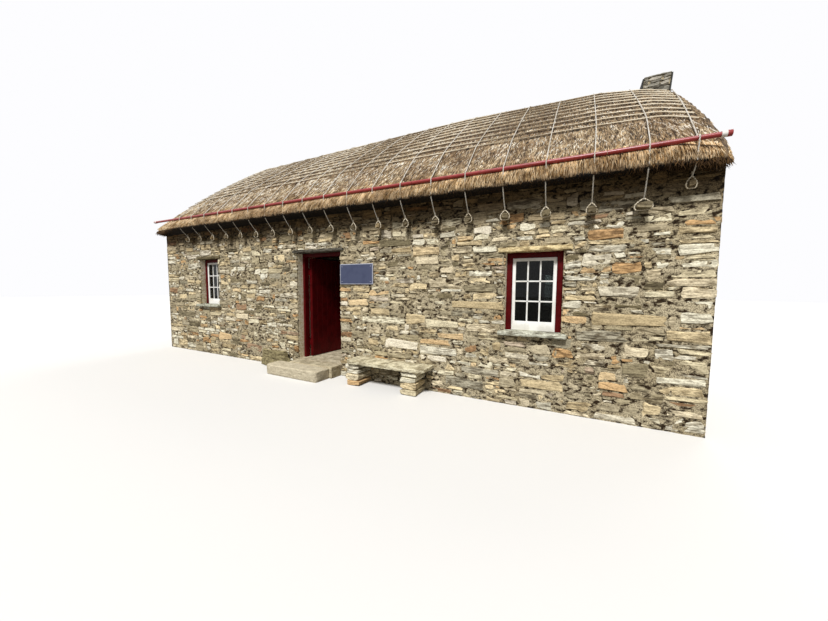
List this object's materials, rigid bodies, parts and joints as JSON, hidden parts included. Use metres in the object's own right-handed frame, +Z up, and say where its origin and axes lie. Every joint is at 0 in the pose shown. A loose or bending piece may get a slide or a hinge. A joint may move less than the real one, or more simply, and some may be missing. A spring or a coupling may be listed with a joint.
{
  "type": "thatched stone cottage",
  "caption": "Single-storey rubble-stone cottage with a roped straw thatch, a hinged plank door, small sash windows and a stone bench beside the door.",
  "frame": {"origin": "centre of the house's plan, on the lowest ground that its walls reach", "axes": "+X along the front towards the chimney end, -Y out of the front door, +Z up"},
  "size_m": [10.7222, 5.8825, 5.2162],
  "materials": {
    "rubble_stone": "rough rubble with mortar",
    "slab_stone": "rough slab",
    "chimney_stone": "thin rough stones",
    "mossy_stone": "rough, mossy",
    "maroon_paint": "gloss maroon paint",
    "white_paint": "white paint",
    "window_glass": "clear",
    "straw_thatch": "weathered straw",
    "roof_timber": "rough sawn",
    "red_pole": "dull red",
    "white_cap": "matt",
    "pale_rope": "twisted",
    "sign_blue": "satin blue, pale edge"
  },
  "bodies": {
    "cottage": {"front_wall_left": "rubble_stone", "front_wall_right": "rubble_stone", "front_wall_over_door": "rubble_stone", "back_wall_left": "rubble_stone", "back_wall_right": "rubble_stone", "left_gable_wall": "rubble_stone", "right_gable_wall": "rubble_stone", "floor_slab": "slab_stone", "threshold_slab": "slab_stone", "upper_step": "slab_stone", "lower_step": "slab_stone", "door_lintel": "slab_stone", "door_frame": "maroon_paint", "left_window_lintel": "slab_stone", "left_window_sill": "slab_stone", "left_window_frame": "maroon_paint", "left_window_sash": "white_paint", "left_window_glass": "window_glass", "right_window_lintel": "slab_stone", "right_window_sill": "slab_stone", "right_window_frame": "maroon_paint", "right_window_sash": "white_paint", "right_window_glass": "window_glass", "back_window_lintels": "slab_stone", "back_window_sills": "slab_stone", "back_window_frames": "maroon_paint", "back_window_sashes": "white_paint", "back_window_glass": "window_glass", "thatch_roof": "straw_thatch", "rafters": "roof_timber", "collar_ties": "roof_timber", "ridge_board": "roof_timber", "chimney_stack": "chimney_stone", "chimney_cap": "chimney_stone", "front_eave_pole": "red_pole", "back_eave_pole": "red_pole", "eave_pole_caps": "white_cap", "roof_ropes": "pale_rope", "lengthwise_lines": "pale_rope", "front_pegs": "slab_stone", "back_pegs": "slab_stone", "bench_seat": "slab_stone", "bench_left_pier": "rubble_stone", "bench_right_pier": "rubble_stone", "sign_board": "sign_blue", "footing_boulder": "mossy_stone"},
    "door": {"door_leaf": "maroon_paint"}
  },
  "joints": [
    {"name": "door_hinge", "type": "hinge", "parent": "cottage", "child": "door", "pos_m": [-0.632, -2.249, 1.2], "axis": [0, 0, 1], "range_deg": [-88, 8]}
  ]
}
